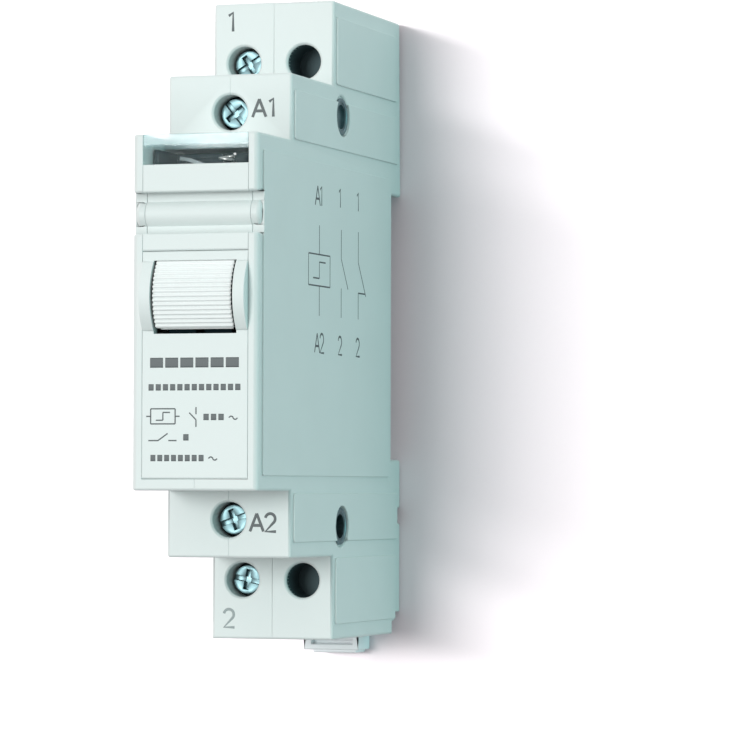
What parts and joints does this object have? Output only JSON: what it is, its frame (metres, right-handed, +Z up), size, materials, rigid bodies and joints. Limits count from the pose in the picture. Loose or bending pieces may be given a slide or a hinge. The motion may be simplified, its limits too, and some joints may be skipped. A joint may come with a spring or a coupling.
{
  "type": "modular step relay",
  "caption": "Rail-mounted modular step relay: coil, ratchet and one contact in a stepped two-part case with a ribbed manual barrel, screw terminals and a sliding rail clip.",
  "frame": {"origin": "centre of the rail seat, the flat face at the back that rests on the front of a 35 mm rail", "axes": "+X to the right seen from the front, +Y into the panel (the front faces -Y), +Z up"},
  "size_m": [0.0174, 0.0597, 0.0871],
  "materials": {
    "case": "fine matt moulded, very light grey",
    "trim": "fine matt moulded, very light grey",
    "barrel": "smooth, white",
    "window": "clear",
    "clip": "smooth, cool white",
    "flag": "smooth, near black",
    "bobbin": "moulded, black",
    "lever": "moulded, brown red",
    "mechanism": "moulded, cream",
    "steel": "zinc plated",
    "iron": "soft iron, plated",
    "copper": "bare copper alloy",
    "brass": "brass",
    "silver": "silver alloy"
  },
  "bodies": {
    "case": {"housing_left": "case", "housing_right": "case", "front_trim": "trim", "indicator_window": "window", "window_mask": "flag", "label_plate": "trim", "barrel_spring": "steel", "terminal_bar_1": "copper", "terminal_bar_2": "copper", "coil_bar_A1": "brass", "coil_bar_A2": "brass", "coil_bobbin": "bobbin", "coil_winding": "copper", "magnet_core": "iron", "shading_ring": "copper", "yoke": "iron", "armature_spring": "steel", "wheel_axle": "steel", "ratchet_detent": "steel", "lever_pin": "steel", "fixed_contact": "silver", "rivet_upper": "steel", "rivet_lower": "steel"},
    "barrel": {"manual_barrel": "barrel"},
    "armature": {"armature": "iron", "armature_arm": "mechanism", "pawl_pin": "steel"},
    "pawl": {"drive_pawl": "steel"},
    "step_wheel": {"ratchet_wheel": "steel", "contact_cam": "mechanism"},
    "contact_lever": {"contact_lever": "lever", "indicator_flag": "flag"},
    "contact_blade": {"contact_blade": "copper", "moving_contact": "silver"},
    "rail_clip": {"rail_clip": "clip"},
    "screw_1": {"terminal_screw_1": "steel"},
    "cage_1": {"clamp_cage_1": "steel"},
    "screw_2": {"terminal_screw_2": "steel"},
    "cage_2": {"clamp_cage_2": "steel"},
    "screw_A1": {"terminal_screw_A1": "steel"},
    "cage_A1": {"clamp_cage_A1": "steel"},
    "screw_A2": {"terminal_screw_A2": "steel"},
    "cage_A2": {"clamp_cage_A2": "steel"}
  },
  "joints": [
    {"name": "barrel_roll", "type": "hinge", "parent": "case", "child": "barrel", "pos_m": [0, -0.0483, 0.002], "axis": [-1, 0, 0], "range_deg": [0, 14], "stiffness_Nm_per_rad": 0.02, "springref_deg": -5.73, "deforming": ["barrel_spring"]},
    {"name": "armature_pull", "type": "hinge", "parent": "case", "child": "armature", "pos_m": [0, -0.0026, 0.0031], "axis": [1, 0, 0], "range_deg": [0, 10.45], "deforming": ["armature_spring"]},
    {"name": "pawl_swing", "type": "hinge", "parent": "armature", "child": "pawl", "pos_m": [0, -0.01919, 0.00686], "axis": [1, 0, 0], "range_deg": [-6.3, 0]},
    {"name": "wheel_step", "type": "hinge", "parent": "case", "child": "step_wheel", "pos_m": [0, -0.0248, 0.0005], "axis": [-1, 0, 0], "range_deg": [0, 45.1], "deforming": ["ratchet_detent"]},
    {"name": "lever_swing", "type": "hinge", "parent": "case", "child": "contact_lever", "pos_m": [0, -0.0284, -0.009], "axis": [1, 0, 0], "range_deg": [0, 8.45]},
    {"name": "blade_flex", "type": "hinge", "parent": "case", "child": "contact_blade", "pos_m": [-0.0045, -0.03085, -0.0158], "axis": [1, 0, 0], "range_deg": [0, 5.45]},
    {"name": "clip_pull", "type": "slide", "parent": "case", "child": "rail_clip", "axis": [0, 0, -1], "range_m": [0, 0.0032], "stiffness_N_per_m": 4000, "springref_m": -0.0005},
    {"name": "screw_turn_1", "type": "hinge", "parent": "case", "child": "screw_1", "pos_m": [-0.0042, -0.0229, 0.0343], "axis": [0, 1, 0], "range_deg": [0, 1441]},
    {"name": "cage_rise_1", "type": "slide", "parent": "case", "child": "cage_1", "axis": [0, -1, 0], "range_m": [0, 0.002]},
    {"name": "screw_turn_2", "type": "hinge", "parent": "case", "child": "screw_2", "pos_m": [-0.0042, -0.0229, -0.0343], "axis": [0, 1, 0], "range_deg": [0, 1441]},
    {"name": "cage_rise_2", "type": "slide", "parent": "case", "child": "cage_2", "axis": [0, -1, 0], "range_m": [0, 0.002]},
    {"name": "screw_turn_A1", "type": "hinge", "parent": "case", "child": "screw_A1", "pos_m": [0, -0.0396, 0.0262], "axis": [0, 1, 0], "range_deg": [0, 1441]},
    {"name": "cage_rise_A1", "type": "slide", "parent": "case", "child": "cage_A1", "axis": [0, -1, 0], "range_m": [0, 0.0018]},
    {"name": "screw_turn_A2", "type": "hinge", "parent": "case", "child": "screw_A2", "pos_m": [0, -0.0396, -0.0262], "axis": [0, 1, 0], "range_deg": [0, 1441]},
    {"name": "cage_rise_A2", "type": "slide", "parent": "case", "child": "cage_A2", "axis": [0, -1, 0], "range_m": [0, 0.0018]}
  ],
  "couplings": [
    {"joint": "armature_pull", "follows": "barrel_roll", "ratio": 0.74286},
    {"joint": "pawl_swing", "follows": "barrel_roll", "ratio": -0.44571},
    {"joint": "wheel_step", "follows": "barrel_roll", "ratio": 3.2143},
    {"joint": "lever_swing", "follows": "barrel_roll", "ratio": 0.6},
    {"joint": "blade_flex", "follows": "barrel_roll", "ratio": 0.38571},
    {"joint": "screw_turn_1", "follows": "cage_rise_1", "rad_per_m": 12566},
    {"joint": "screw_turn_2", "follows": "cage_rise_2", "rad_per_m": 12566},
    {"joint": "screw_turn_A1", "follows": "cage_rise_A1", "rad_per_m": 13963},
    {"joint": "screw_turn_A2", "follows": "cage_rise_A2", "rad_per_m": 13963}
  ]
}
